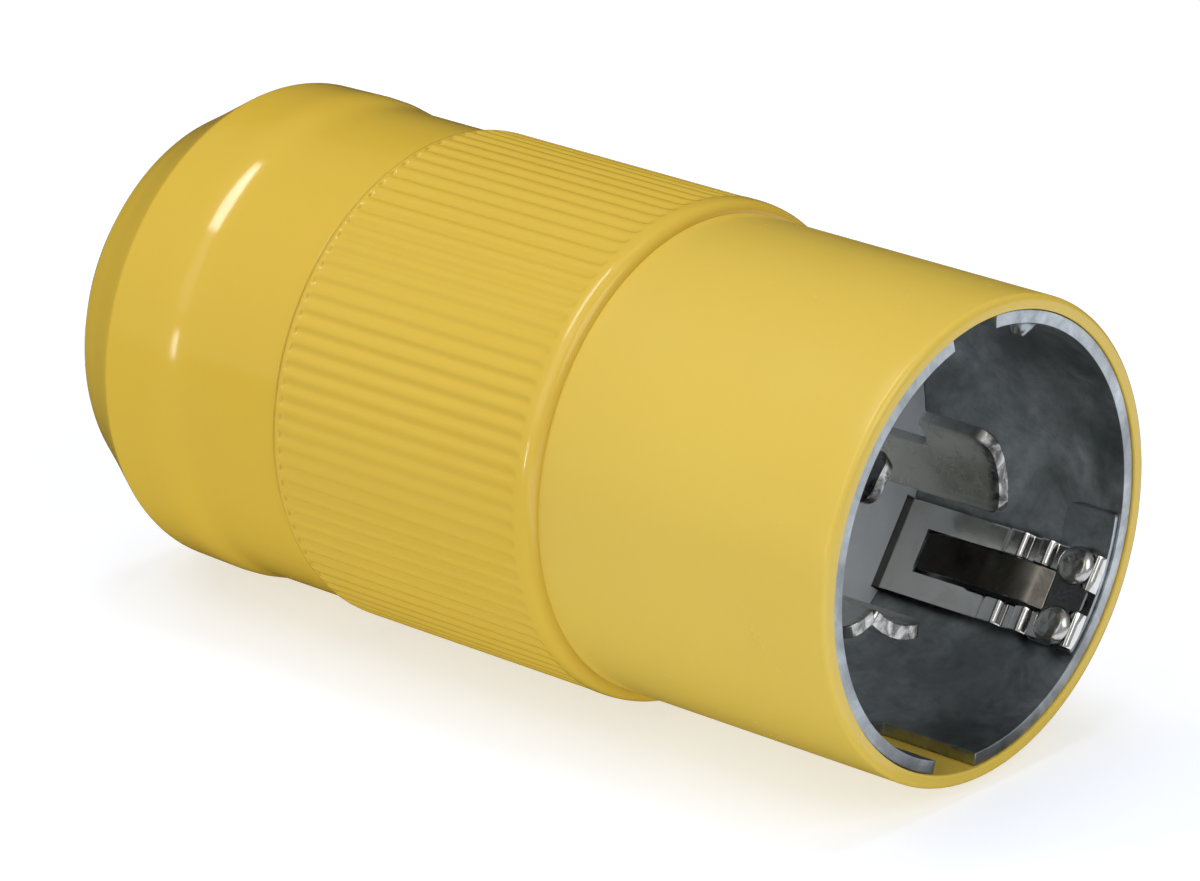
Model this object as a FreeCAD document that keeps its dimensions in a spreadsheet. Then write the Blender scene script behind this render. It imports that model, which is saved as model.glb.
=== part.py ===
import FreeCAD, Part
import math
import os
import re
import Sketcher

# Locking shore power plug, lying on its side.
# Frame: +X points out of the mating mouth along the plug's axis, +Z is up,
# the origin is the centre of the mouth in the plane of the front rim.
# Depths are measured back from the rim (towards -X). Angles about the axis
# are counted from +Y towards +Z.

V = FreeCAD.Vector
Rot = FreeCAD.Rotation
Place = FreeCAD.Placement

doc = FreeCAD.newDocument("ShorePowerPlug")

# ---------------------------------------------------------------- sizes (mm, degrees)
CELLS = [
    # yellow sleeve
    ("sleeveFront", 31.5, "outer radius of the sleeve"),
    ("sleeveUnder", 30.9, "outer radius of the sleeve under the grip"),
    ("sleeveBore", 29.6, "bore radius of the sleeve"),
    ("sleeveStop", 28.3, "bore radius at the inner shoulder"),
    ("stopFront", 44.0, "depth of the shoulder's front face"),
    ("stopRear", 46.0, "depth of the shoulder's rear face"),
    ("sleeveEnd", 90.8, "depth of the sleeve's rear end"),
    ("rimRound", 0.9, "rounding of the rim"),
    # grip
    ("gripStart", 46.4, "depth where the grip's shoulder begins"),
    ("gripLip", 31.55, "radius at the foot of the shoulder"),
    ("gripBore", 30.95, "bore radius of the grip"),
    ("gripRadius", 33.1, "outer radius of the grip"),
    ("crownRadius", 32.98, "radius at the crowns of the ribs"),
    ("gripEnd", 91.0, "depth of the grip's rear face"),
    ("gripRound", 1.5, "rounding of the shoulder"),
    ("ribStart", 49.4, "depth where the ribs begin"),
    ("ribEnd", 89.9, "depth where the ribs end"),
    ("ribCount", 90, "number of grooves"),
    ("ribDepth", 0.4, "depth of a groove"),
    ("ribTop", 0.95, "half width of a groove at its mouth"),
    ("ribFloor", 0.3, "half width of a groove at its floor"),
    # rear cap
    ("capStart", 91.4, "depth of the cap's shoulder face"),
    ("capBarrel", 32.25, "outer radius of the cap's barrel"),
    ("ridgeFoot", 107.6, "depth where the ridge begins to rise"),
    ("ridgeFront", 112.0, "depth of the ridge's front edge"),
    ("ridgeRear", 121.6, "depth of the ridge's rear edge"),
    ("ridgeRadius", 33.1, "radius of the ridge"),
    ("domeRear", 127.2, "depth where the rear shoulder turns"),
    ("domeRadius", 29.5, "radius where the rear shoulder turns"),
    ("coneRear", 131.6, "depth where the cone ends"),
    ("coneRadius", 27.0, "radius where the cone ends"),
    ("capFace", 134.5, "depth of the rear face"),
    ("capFaceRadius", 24.0, "radius at the rear face's edge"),
    ("capBore", 27.3, "bore radius of the cap"),
    ("capBoreEnd", 110.0, "depth where the cap's bore narrows"),
    ("capNeck", 21.4, "radius of the narrow bore"),
    ("capNeckStart", 117.0, "depth where the narrow bore begins"),
    ("capSeat", 128.0, "depth of the washer's seat"),
    ("capHole", 14.5, "radius of the cable hole"),
    ("capHoleEnd", 132.2, "depth where the cable hole flares"),
    ("capHoleFlare", 16.6, "radius of the flare at the rear face"),
    ("spigotStart", 74.0, "depth of the cap's threaded spigot end"),
    ("spigotRadius", 29.3, "outer radius of the spigot"),
    ("ringFloor", 28.0, "radius of the seal groove's floor"),
    ("ringFront", 86.4, "depth of the seal groove's front wall"),
    ("ringRear", 88.2, "depth of the seal groove's rear wall"),
    ("ringMiddle", 87.3, "depth of the seal ring"),
    ("ringCentre", 28.76, "centre radius of the seal ring's section"),
    ("ringSection", 0.7, "radius of the seal ring's section"),
    # steel shell
    ("shellFront", 0.35, "depth of the shell's front edge"),
    ("shellOuter", 29.5, "outer radius of the shell"),
    ("shellInner", 27.8, "inner radius of the shell"),
    ("slotWidth", 8.2, "width of a keying slot"),
    ("slotDepth", 15.0, "length of a keying slot"),
    ("slotTopAngle", 96.2, "angle of the upper slot"),
    ("slotLowAngle", 259.0, "angle of the lower slot"),
    ("dimpleRadius", 1.45, "radius of the dimple"),
    ("dimpleCentre", 27.95, "distance of the dimple from the axis"),
    ("dimpleDepth", 2.2, "depth of the dimple"),
    ("dimpleAngle", 72.5, "angle of the dimple"),
    # insulating core
    ("baseFront", 32.5, "depth of the base's face"),
    ("baseRear", 40.0, "depth of the base's rear face"),
    ("baseRadius", 27.7, "radius of the base"),
    ("gasketRear", 41.0, "depth of the gasket's rear face"),
    ("gasketRadius", 27.2, "radius of the gasket"),
    ("coreFlange", 29.4, "radius of the terminal block's flange"),
    ("coreRear", 66.0, "depth of the terminal block's rear face"),
    # blades
    ("bladeTip", 8.5, "depth of the blade tips"),
    ("neutralTip", 9.5, "depth of the neutral blade's tip"),
    ("bladeInner", 12.9, "inner radius of the blades"),
    ("bladeOuter", 14.8, "outer radius of the blades"),
    ("bladeEnd", 52.0, "depth of the blades' tails"),
    ("hookRear", 19.7, "depth of the hook's rear edge"),
    ("bladeGap", 0.1, "clearance round a blade in the core"),
    ("legLength", 4.4, "radial length of the neutral blade's leg"),
    ("legTail", 36.0, "depth of the leg's end in the base"),
    # ground strip, in its own frame: distance from the axis and width
    ("stripAngle", -34.5, "angle of the ground strip"),
    ("stripWidth", 12.4, "width of the strip"),
    ("stripOuter", 25.9, "distance of the strip's outer face"),
    ("stripInner", 25.2, "distance of the strip's inner face"),
    ("stripFront", 1.2, "depth of the strip's front end"),
    ("windowFront", 6.0, "depth of the window's front end"),
    ("windowRear", 27.5, "depth of the window's rear end"),
    ("windowWidth", 5.9, "width of the window"),
    ("notchWidth", 12.9, "width of the notch in the base"),
    ("notchFloor", 25.1, "distance of the notch's floor"),
    ("leafWidth", 5.2, "width of the contact leaf"),
    ("leafRoot", 6.3, "depth of the leaf's bend line"),
    ("platWidth", 13.4, "width of the leaf's riveted root"),
    ("rivetSide", 4.05, "distance of each rivet from the strip's middle"),
    ("rivetBack", 4.0, "depth of the rivets"),
    ("rivetShank", 1.4, "radius of the rivet shanks"),
    ("rivetHole", 1.45, "radius of the rivet holes"),
    ("rivetHead", 2.7, "radius of the rivet heads"),
    ("rivetDome", 1.2, "height of the rivet heads"),
    ("footInner", 27.0, "inner radius of the foot plate"),
    ("footOuter", 27.75, "outer radius of the foot plate"),
    ("footFront", 0.7, "depth of the foot plate's front edge"),
    ("footLength", 7.8, "length of the foot plate"),
    ("footStart", -48.5, "first angle of the foot plate"),
    ("footSpan", 39.5, "angle the foot plate covers"),
    # terminals
    ("blockWide", 10.0, "width of a terminal block"),
    ("blockTall", 9.0, "radial height of a terminal block"),
    ("blockLong", 12.0, "length of a terminal block"),
    ("blockInner", 10.6, "distance of a terminal block from the axis"),
    ("wireHole", 2.9, "radius of a wire hole"),
    ("screwHead", 3.3, "radius of a terminal screw's head"),
    ("screwHeadTall", 2.3, "height of a terminal screw's head"),
    ("screwShank", 2.1, "radius of a terminal screw's shank"),
    ("screwTap", 2.15, "radius of a terminal screw's hole"),
    ("screwLong", 4.2, "length of a terminal screw's shank"),
    ("driverBore", 3.9, "radius of the driver holes in the core"),
    ("longShank", 1.9, "radius of the core screws"),
    ("longHole", 2.0, "radius of the core screw holes"),
    ("longHead", 3.6, "radius of the core screws' heads"),
    ("longHeadTall", 2.6, "height of the core screws' heads"),
    ("longStart", 36.0, "depth of the core screws' points"),
    ("longCircle", 21.8, "distance of the core screws from the axis"),
    # cable entry
    ("seatFlange", 29.2, "radius of the gland seat's flange"),
    ("seatFlangeEnd", 70.0, "depth of the flange's rear face"),
    ("seatOuter", 26.4, "outer radius of the gland seat"),
    ("seatInner", 24.4, "inner radius of the gland seat"),
    ("seatTaper", 104.0, "depth where the gland seat tapers"),
    ("seatBack", 108.0, "depth of the gland seat's rear face"),
    ("seatBackRadius", 21.6, "radius at the gland seat's rear face"),
    ("seatInnerEnd", 97.0, "depth where the gland seat's cone begins"),
    ("seatHole", 16.0, "radius of the gland seat's hole"),
    ("grommetRear", 126.0, "depth of the grommet's rear face"),
    ("grommetOuter", 20.0, "outer radius of the grommet"),
    ("grommetBore", 13.0, "bore radius of the grommet"),
    ("grommetNose", 17.6, "radius of the grommet's nose"),
    ("grommetWaist", 112.0, "depth where the grommet reaches full radius"),
    ("washerOuter", 20.6, "outer radius of the slip washer"),
    ("washerInner", 13.8, "inner radius of the slip washer"),
]
SIZE = {}
sheet = doc.addObject("Spreadsheet::Sheet", "Sizes")
for row, (word, number, note) in enumerate(CELLS, start=1):
    sheet.set("A%d" % row, note)
    sheet.set("B%d" % row, str(number))
    sheet.setAlias("B%d" % row, word)
    SIZE[word] = float(number)
doc.recompute()


# ---------------------------------------------------------------- helpers
TERM = re.compile(r"([+-]?)\s*([A-Za-z]\w*|\d+\.?\d*)")


def num(words):
    """Value of a sum or difference of cell names and plain numbers."""
    total = 0.0
    for sign, word in TERM.findall(words):
        value = SIZE[word] if word in SIZE else float(word)
        total += -value if sign == "-" else value
    return total


def neg(words):
    """The same sum with every sign turned."""
    flipped = "".join(("+" if sign == "-" else "-") + word for sign, word in TERM.findall(words))
    return flipped


def cells(words):
    """The same sum as a formula that refers to the sheet."""
    return re.sub(r"[A-Za-z]\w*", lambda hit: "Sizes." + hit.group(0), words)


def bind(thing, prop, words):
    thing.setExpression(prop, cells(words))


def origin_feature(body, role):
    for feature in body.Origin.OriginFeatures:
        if feature.Role == role:
            return feature
    raise RuntimeError("no origin feature " + role)


def new_body(label):
    body = doc.addObject("PartDesign::Body", label)
    body.Label = label
    return body


def new_sketch(body, name, plane, offset=None, turn=0.0):
    sketch = body.newObject("Sketcher::SketchObject", name)
    sketch.AttachmentSupport = [(origin_feature(body, plane), "")]
    sketch.MapMode = "FlatFace"
    if offset is not None:
        sketch.AttachmentOffset = Place(V(0, 0, num(offset)), Rot(V(0, 0, 1), turn))
        sketch.setExpression("AttachmentOffset.Base.z", cells(offset))
    return sketch


def pin_point(sketch, geo, pos, across, up):
    """Hold one point at (across, up) from the sketch's origin with bound sizes."""
    for kind, words, axis in (("DistanceX", across, -2), ("DistanceY", up, -1)):
        value = num(words)
        if abs(value) < 1e-9:
            sketch.addConstraint(Sketcher.Constraint("PointOnObject", geo, pos, axis))
        elif value > 0:
            index = sketch.addConstraint(Sketcher.Constraint(kind, -1, 1, geo, pos, value))
            sketch.setExpression("Constraints[%d]" % index, cells(words))
        else:
            index = sketch.addConstraint(Sketcher.Constraint(kind, geo, pos, -1, 1, -value))
            sketch.setExpression("Constraints[%d]" % index, "-(" + cells(words) + ")")


def outline(body, name, plane, corners, offset=None, turn=0.0):
    """Closed polygon whose corners are all held by bound sizes."""
    sketch = new_sketch(body, name, plane, offset, turn)
    points = [V(num(a), num(b), 0) for a, b in corners]
    count = len(points)
    for i in range(count):
        sketch.addGeometry(Part.LineSegment(points[i], points[(i + 1) % count]), False)
    for i in range(count):
        sketch.addConstraint(Sketcher.Constraint("Coincident", i, 2, (i + 1) % count, 1))
    for i, (a, b) in enumerate(corners):
        pin_point(sketch, i, 1, a, b)
    return sketch


def revolve(body, name, corners):
    """Turned solid: corners are (depth behind the rim, radius)."""
    sketch = outline(body, name + "Profile", "XY_Plane",
                     [(neg(a), b) for a, b in corners])
    turned = body.newObject("PartDesign::Revolution", name)
    turned.Profile = sketch
    turned.ReferenceAxis = (sketch, ["H_Axis"])
    turned.Angle = 360.0
    sketch.Visibility = False
    doc.recompute()
    return turned


def round_edges(body, name, radius, wanted):
    """Fillet the circular edges given as (depth, radius)."""
    tip = body.Tip
    names = []
    for i, edge in enumerate(tip.Shape.Edges, start=1):
        curve = edge.Curve
        if not hasattr(curve, "Radius") or not hasattr(curve, "Center"):
            continue
        for depth, rad in wanted:
            if abs(curve.Radius - num(rad)) < 1e-3 and abs(curve.Center.x + num(depth)) < 1e-3:
                names.append("Edge%d" % i)
    if len(names) < len(wanted):
        raise RuntimeError("edges to round not found on " + body.Label)
    fillet = body.newObject("PartDesign::Fillet", name)
    fillet.Base = (tip, names)
    fillet.Radius = num(radius)
    bind(fillet, "Radius", radius)
    doc.recompute()
    return fillet


def pocket(body, name, sketch, length, reverse=False):
    before = body.Shape.Volume
    cut = body.newObject("PartDesign::Pocket", name)
    cut.Profile = sketch
    cut.Length = num(length)
    cut.Reversed = reverse
    bind(cut, "Length", length)
    sketch.Visibility = False
    doc.recompute()
    if not body.Shape.Volume < before - 1e-3:
        raise RuntimeError(name + " cut nothing")
    return cut


def primitive(kind, name, sizes, place):
    thing = doc.addObject(kind, name)
    for prop, words in sizes.items():
        setattr(thing, prop, num(words))
        bind(thing, prop, words)
    thing.Placement = place
    return thing


def along_x(depth, angle=0.0):
    """Placement of a cylinder that starts at a depth and runs towards the rim,
    its angle counted from the given angle about the axis."""
    spin = Rot(V(1, 0, 0), angle + 90.0).multiply(Rot(V(0, 1, 0), 90.0))
    return Place(V(-num(depth), 0, 0), spin)


def rod(name, radius, depth, length, across="0", up="0", angle=0.0):
    """Cylinder along X, optionally off the axis at a distance and an angle."""
    thing = primitive("Part::Cylinder", name, {"Radius": radius, "Height": length}, along_x(depth))
    a = math.radians(angle)
    y = num(across) * math.cos(a) - num(up) * math.sin(a)
    z = num(across) * math.sin(a) + num(up) * math.cos(a)
    thing.Placement.Base = V(-num(depth), y, z)
    return thing


def sector(name, inner, outer, depth, length, start, span):
    """Part of a ring about the axis, from a start angle over a span."""
    full = primitive("Part::Cylinder", name + "Outer",
                     {"Radius": outer, "Height": length}, along_x(depth, start))
    full.Angle = span
    core = primitive("Part::Cylinder", name + "Inner",
                     {"Radius": inner, "Height": length + "+4"}, along_x(depth + "+2"))
    return cut(name, full, core)


def cut(name, base, tool):
    result = doc.addObject("Part::Cut", name)
    result.Base = base
    result.Tool = tool
    return result


def fuse(name, shapes, refine=True):
    result = doc.addObject("Part::MultiFuse", name)
    result.Shapes = shapes
    result.Refine = refine
    return result


def brick(name, angle, depth, length, low, tall, wide, side="0"):
    """Box in the frame of a strip or terminal at an angle about the axis:
    it runs back from a depth, stands from a distance outwards, and is centred
    sideways on 'side'."""
    turn = Rot(V(1, 0, 0), angle)
    thing = primitive("Part::Box", name, {"Length": length, "Width": tall, "Height": wide}, Place())
    corner = V(-num(depth) - num(length), num(low), num(side) - num(wide) / 2.0)
    thing.Placement = Place(turn.multVec(corner), turn)
    return thing


def post(name, angle, depth, low, tall, radius, side="0"):
    """Cylinder that stands outwards from the axis at an angle."""
    turn = Rot(V(1, 0, 0), angle)
    upright = Rot(V(1, 0, 0), angle - 90.0)
    thing = primitive("Part::Cylinder", name, {"Radius": radius, "Height": tall}, Place())
    thing.Placement = Place(turn.multVec(V(-num(depth), num(low), num(side))), upright)
    return thing


NODES = []


def node(thing, label):
    thing.Label = label
    NODES.append((label, thing))


# ---------------------------------------------------------------- front sleeve
# Moulded tube round the mating end. An inner shoulder stops the terminal block;
# the rear bore takes the cap's spigot.
body = new_body("front_sleeve")
revolve(body, "SleeveTurned", [
    ("0", "sleeveBore"), ("0", "sleeveFront"), ("gripStart", "sleeveFront"), ("gripStart", "sleeveUnder"), ("sleeveEnd", "sleeveUnder"), ("sleeveEnd", "sleeveBore"),
    ("stopRear", "sleeveBore"), ("stopRear", "sleeveStop"),
    ("stopFront", "sleeveStop"), ("stopFront", "sleeveBore")])
round_edges(body, "SleeveRim", "rimRound", [("0", "sleeveFront")])
node(body, "front_sleeve")

# ---------------------------------------------------------------- grip ring
# Ribbed band pressed over the sleeve, with a rounded shoulder at its front.
body = new_body("grip_ring")
revolve(body, "GripTurned", [
    ("gripStart", "gripBore"), ("gripStart", "gripLip"), ("gripStart+0.6", "gripRadius-0.5"),
    ("gripStart+2", "gripRadius"), ("ribStart-0.2", "gripRadius"), ("ribStart+0.2", "crownRadius"),
    ("gripEnd-0.45", "crownRadius"), ("gripEnd", "crownRadius-0.4"), ("gripEnd", "gripBore")])
round_edges(body, "GripShoulder", "gripRound-1.1", [("gripStart+0.6", "gripRadius-0.5")])
groove = outline(body, "GripGroove", "YZ_Plane", [
    ("-ribTop", "gripRadius+0.3"), ("-ribFloor", "gripRadius-ribDepth"),
    ("ribFloor", "gripRadius-ribDepth"), ("ribTop", "gripRadius+0.3")], offset="-ribStart")
first = pocket(body, "GripRib", groove, "ribEnd-ribStart")
before = body.Shape.Volume
ribs = body.newObject("PartDesign::PolarPattern", "GripRibs")
ribs.Originals = [first]
ribs.Axis = (origin_feature(body, "X_Axis"), [""])
ribs.Angle = 360.0
ribs.Occurrences = int(num("ribCount"))
ribs.setExpression("Occurrences", cells("ribCount"))
body.Tip = ribs
doc.recompute()
if not body.Shape.Volume < before - 1.0:
    raise RuntimeError("the ribs cut nothing")
node(body, "grip_ring")

# ---------------------------------------------------------------- rear cap
# Screw-on cap: spigot inside the sleeve, barrel, rounded ridge, tapered end
# with the cable hole. The thread is a plain cylinder.
body = new_body("rear_cap")
revolve(body, "CapTurned", [
    ("spigotStart", "capBore"), ("spigotStart", "spigotRadius"),
    ("ringFront", "spigotRadius"), ("ringFront", "ringFloor"),
    ("ringRear", "ringFloor"), ("ringRear", "spigotRadius"),
    ("capStart", "spigotRadius"), ("capStart", "capBarrel"),
    ("ridgeFoot", "capBarrel"), ("ridgeFront", "ridgeRadius"), ("ridgeRear", "ridgeRadius-0.25"),
    ("domeRear", "domeRadius"), ("coneRear", "coneRadius"), ("capFace", "capFaceRadius"),
    ("capFace", "capHoleFlare"), ("capHoleEnd", "capHole"),
    ("capSeat", "capHole"), ("capSeat", "capNeck"), ("capNeckStart", "capNeck"),
    ("capBoreEnd", "capBore")])
round_edges(body, "CapRidge", "rimRound+1.1",
            [("ridgeFront", "ridgeRadius"), ("ridgeRear", "ridgeRadius-0.25"),
             ("coneRear", "coneRadius")])
round_edges(body, "CapEdges", "rimRound+0.7", [("capFace", "capFaceRadius")])
node(body, "rear_cap")

# ---------------------------------------------------------------- seal ring of the cap
body = new_body("cap_o_ring")
sketch = new_sketch(body, "RingSection", "XY_Plane")
sketch.addGeometry(Part.Circle(V(-num("ringMiddle"), num("ringCentre"), 0), V(0, 0, 1),
                               num("ringSection")), False)
index = sketch.addConstraint(Sketcher.Constraint("Radius", 0, num("ringSection")))
sketch.setExpression("Constraints[%d]" % index, cells("ringSection"))
pin_point(sketch, 0, 3, "-ringMiddle", "ringCentre")
ring = body.newObject("PartDesign::Revolution", "RingTurned")
ring.Profile = sketch
ring.ReferenceAxis = (sketch, ["H_Axis"])
ring.Angle = 360.0
doc.recompute()
node(body, "cap_o_ring")

# ---------------------------------------------------------------- steel shell
# Tube that lines the mouth: two keying slots in its rim and a dimple pressed
# inwards near the upper slot.
body = new_body("ground_shell")
revolve(body, "ShellTurned", [
    ("shellFront", "shellInner"), ("shellFront", "shellOuter"),
    ("stopFront", "shellOuter"), ("stopFront", "shellInner")])
for title, angle in (("ShellSlotTop", "slotTopAngle"), ("ShellSlotLow", "slotLowAngle")):
    slot = outline(body, title + "Outline", "YZ_Plane", [
        ("shellInner-2", "-slotWidth+4.1"), ("shellOuter+2", "-slotWidth+4.1"),
        ("shellOuter+2", "slotWidth-4.1"), ("shellInner-2", "slotWidth-4.1")],
        offset="0.5", turn=num(angle))
    pocket(body, title, slot, "slotDepth+0.5")
before = body.Shape.Volume
bump = body.newObject("PartDesign::AdditiveSphere", "ShellDimple")
bump.AttachmentSupport = [(origin_feature(body, "XY_Plane"), "")]
bump.MapMode = "FlatFace"
bump.Radius = num("dimpleRadius")
bind(bump, "Radius", "dimpleRadius")
angle = math.radians(num("dimpleAngle"))
bump.AttachmentOffset = Place(V(-num("dimpleDepth"), num("dimpleCentre") * math.cos(angle),
                                num("dimpleCentre") * math.sin(angle)), Rot())
doc.recompute()
if not body.Shape.Volume > before:
    raise RuntimeError("the dimple is not on the shell")
node(body, "ground_shell")

# ---------------------------------------------------------------- blades
# Curved locking blades on one circle. The first has a hook at its tip, the
# second is plain, the neutral one has a leg that turns outwards.
tip_to_hook = "hookRear-bladeTip"
blade_x = fuse("BladeX", [
    sector("BladeXHook", "bladeInner", "bladeOuter", "hookRear", tip_to_hook, -10.0, 51.0),
    sector("BladeXNeck", "bladeInner", "bladeOuter", "bladeEnd", "bladeEnd-hookRear", -10.0, 29.0)])
node(blade_x, "blade_x")
blade_y = fuse("BladeY", [
    sector("BladeYArc", "bladeInner", "bladeOuter", "legTail", "legTail-bladeTip", 125.0, 28.0),
    sector("BladeYTail", "bladeInner", "bladeOuter", "bladeEnd", "bladeEnd-legTail", 129.0, 20.0)])
node(blade_y, "blade_y")
leg = brick("BladeNLeg", -163.0, "neutralTip", "legTail-neutralTip", "bladeInner-0.5",
            "legLength+0.4", "bladeOuter-bladeInner", side="5.6")
blade_n = fuse("BladeN", [
    sector("BladeNArc", "bladeInner", "bladeOuter", "legTail", "legTail-neutralTip", -139.0, 48.0),
    sector("BladeNTail", "bladeInner", "bladeOuter", "bladeEnd", "bladeEnd-legTail", -136.0, 26.0),
    leg])
node(blade_n, "blade_neutral")

# ---------------------------------------------------------------- passages through the core
CORE_SCREW_ANGLES = (94.0, 188.0, 256.0)
core_passages = fuse("CorePassages", [
    sector("PassX", "bladeInner-bladeGap", "bladeOuter+bladeGap", "bladeEnd", "22", -10.4, 29.8),
    sector("PassY", "bladeInner-bladeGap", "bladeOuter+bladeGap", "legTail", "6", 124.6, 28.8),
    sector("PassYTail", "bladeInner-bladeGap", "bladeOuter+bladeGap", "bladeEnd", "18", 128.6, 20.8),
    sector("PassN", "bladeInner-bladeGap", "bladeOuter+bladeGap", "legTail", "6", -139.4, 48.8),
    sector("PassNTail", "bladeInner-bladeGap", "bladeOuter+bladeGap", "bladeEnd", "18", -136.4, 26.8),
    brick("PassLeg", -163.0, "30", "legTail-30", "bladeInner-0.6", "legLength+0.6",
          "bladeOuter-bladeInner+0.2", side="5.6"),
    brick("PassStrip", num("stripAngle"), "30", "bladeEnd-30", "notchFloor", "6", "notchWidth"),
] + [rod("PassScrew%d" % i, "longHole", "coreRear+1", "coreRear-longStart+1.2",
         across="longCircle", angle=a)
     for i, a in enumerate(CORE_SCREW_ANGLES)])

core_front = cut("CoreFront", rod("CoreFrontDisc", "baseRadius", "baseRear", "baseRear-baseFront"),
                 core_passages)
node(core_front, "core_front")
core_gasket = cut("CoreGasket", rod("GasketDisc", "gasketRadius", "gasketRear", "gasketRear-baseRear"),
                  core_passages)
node(core_gasket, "core_gasket")

# ---------------------------------------------------------------- terminal block
# Its neck sits inside the shell, its flange against the sleeve's shoulder. Each
# terminal drops in from the rear and its screw is reached through a side hole.
TERMINALS = (("terminal_x", 4.5), ("terminal_y", 139.0), ("terminal_neutral", -123.0))
RELIEF_POCKETS = ((41.0, "5.5"), (60.0, "5.5"))
core_blank = fuse("CoreRearBlank", [
    rod("CoreNeck", "baseRadius", "stopRear", "stopRear-gasketRear"),
    rod("CoreFlangeDisc", "coreFlange", "coreRear", "coreRear-stopRear")])
hollows = [core_passages]
for i, (label, a) in enumerate(TERMINALS):
    hollows.append(brick("Hollow%d" % i, a, "bladeEnd", "coreRear-bladeEnd+1",
                         "blockInner-0.1", "blockTall+0.2", "blockWide+0.2"))
    hollows.append(post("Driver%d" % i, a, "bladeEnd+6", "blockInner+5", "18", "driverBore"))
ground_angle = num("stripAngle")
hollows.append(brick("HollowGround", ground_angle, "stopRear-0.1", "coreRear-stopRear+1",
                     "stripInner-6.5", "6.6", "7.8"))
hollows.append(post("DriverGround", ground_angle, "56", "24", "8", "driverBore"))
# Relief pockets from the rear keep the moulding's walls even between the terminals.
for i, (a, radius) in enumerate(RELIEF_POCKETS):
    hollows.append(rod("Relief%d" % i, radius, "coreRear+1", "24", across="19", angle=a))
core_rear = cut("CoreRear", core_blank, fuse("CoreHollows", hollows))
node(core_rear, "core_rear")

# ---------------------------------------------------------------- terminals and their screws
for i, (label, a) in enumerate(TERMINALS):
    block = brick("Block%d" % i, a, "bladeEnd", "blockLong", "blockInner", "blockTall", "blockWide")
    mid = num("blockInner") + num("blockTall") / 2.0 - 0.7
    turn = Rot(V(1, 0, 0), a)
    wire = primitive("Part::Cylinder", "Wire%d" % i, {"Radius": "wireHole", "Height": "blockLong-1.4"},
                     Place())
    wire.Placement = Place(turn.multVec(V(-num("bladeEnd+blockLong") - 0.01, mid, 0)),
                           turn.multiply(Rot(V(0, 1, 0), 90.0)))
    tap = post("Tap%d" % i, a, "bladeEnd+6", "blockInner+4", "blockTall", "screwTap")
    terminal = cut("Terminal%d" % i, block, fuse("TerminalHoles%d" % i, [wire, tap]))
    node(terminal, label)


def screw(name, a, depth, seat):
    """Cheese-head screw that stands outwards, with a straight driver slot."""
    head = post(name + "Head", a, depth, seat, "screwHeadTall", "screwHead")
    shank = post(name + "Shank", a, depth, seat + "-screwLong", "screwLong+0.5", "screwShank")
    slot = brick(name + "Slot", a, depth + "-4", "8", seat + "+screwHeadTall-1", "2", "0.9")
    return cut(name, fuse(name + "Blank", [head, shank]), slot)


seat = "blockInner+blockTall"
screws = fuse("ClampScrews", [screw("ClampScrew%d" % i, a, "bladeEnd+6", seat)
                              for i, (label, a) in enumerate(TERMINALS)], refine=False)
node(screws, "clamp_screws")

ground_block = brick("GroundBlock", ground_angle, "stopRear", "14", "stripInner-6.4", "6.4", "7.6")
turn = Rot(V(1, 0, 0), ground_angle)
ground_wire = primitive("Part::Cylinder", "GroundWire", {"Radius": "wireHole-0.3", "Height": "9"}, Place())
ground_wire.Placement = Place(turn.multVec(V(-num("stopRear") - 14.01, num("stripInner") - 3.3, 0)),
                              turn.multiply(Rot(V(0, 1, 0), 90.0)))
ground_tap = post("GroundTap", ground_angle, "56", "stripInner-4.4", "6", "screwTap")
node(cut("TerminalGround", ground_block, fuse("GroundHoles", [ground_wire, ground_tap])),
     "terminal_ground")
node(screw("GroundScrewCut", ground_angle, "56", "stripInner"), "ground_screw")

# ---------------------------------------------------------------- core screws
long_ones = []
for i, a in enumerate(CORE_SCREW_ANGLES):
    shank = rod("LongShank%d" % i, "longShank", "coreRear+0.5", "coreRear-longStart+0.4",
                across="longCircle", angle=a)
    head = rod("LongHead%d" % i, "longHead", "coreRear+longHeadTall", "longHeadTall",
               across="longCircle", angle=a)
    slot = brick("LongSlot%d" % i, a, "coreRear+longHeadTall-1.1", "2", "longCircle-4.5", "9", "1")
    long_ones.append(cut("LongScrew%d" % i, fuse("LongBlank%d" % i, [shank, head]), slot))
node(fuse("CoreScrews", long_ones, refine=False), "core_screws")

# ---------------------------------------------------------------- ground strip
# Bright spring strip along the wall, in a frame whose Y points outwards through
# the strip. It has a window for the contact leaf and three cross corrugations
# ahead of the riveted end; its tail runs through the base to the ground terminal.
strip_place = Place(V(0, 0, 0), Rot(V(1, 0, 0), num("stripAngle")))
body = new_body("ground_strap")
side = outline(body, "StrapSide", "XY_Plane", [
    ("-bladeEnd", "stripInner"), ("-15.6", "stripInner"), ("-14.6", "stripInner-0.6"),
    ("-12.7", "stripInner-0.6"), ("-12.1", "stripInner+0.55"), ("-10.5", "stripInner+0.55"),
    ("-9.9", "stripInner-0.6"), ("-8.6", "stripInner-0.6"), ("-8", "stripInner+0.4"),
    ("-stripFront", "stripInner+0.4"), ("-stripFront", "stripOuter+0.4"),
    ("-8.4", "stripOuter+0.4"), ("-9", "stripOuter-0.6"), ("-9.5", "stripOuter-0.6"),
    ("-10.1", "stripOuter+0.55"), ("-12.5", "stripOuter+0.55"), ("-13.1", "stripOuter-0.6"),
    ("-14.2", "stripOuter-0.6"), ("-15.2", "stripOuter"), ("-bladeEnd", "stripOuter")])
pad = body.newObject("PartDesign::Pad", "StrapPad")
pad.Profile = side
pad.Length = num("stripWidth")
pad.Midplane = True
bind(pad, "Length", "stripWidth")
doc.recompute()
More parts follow.
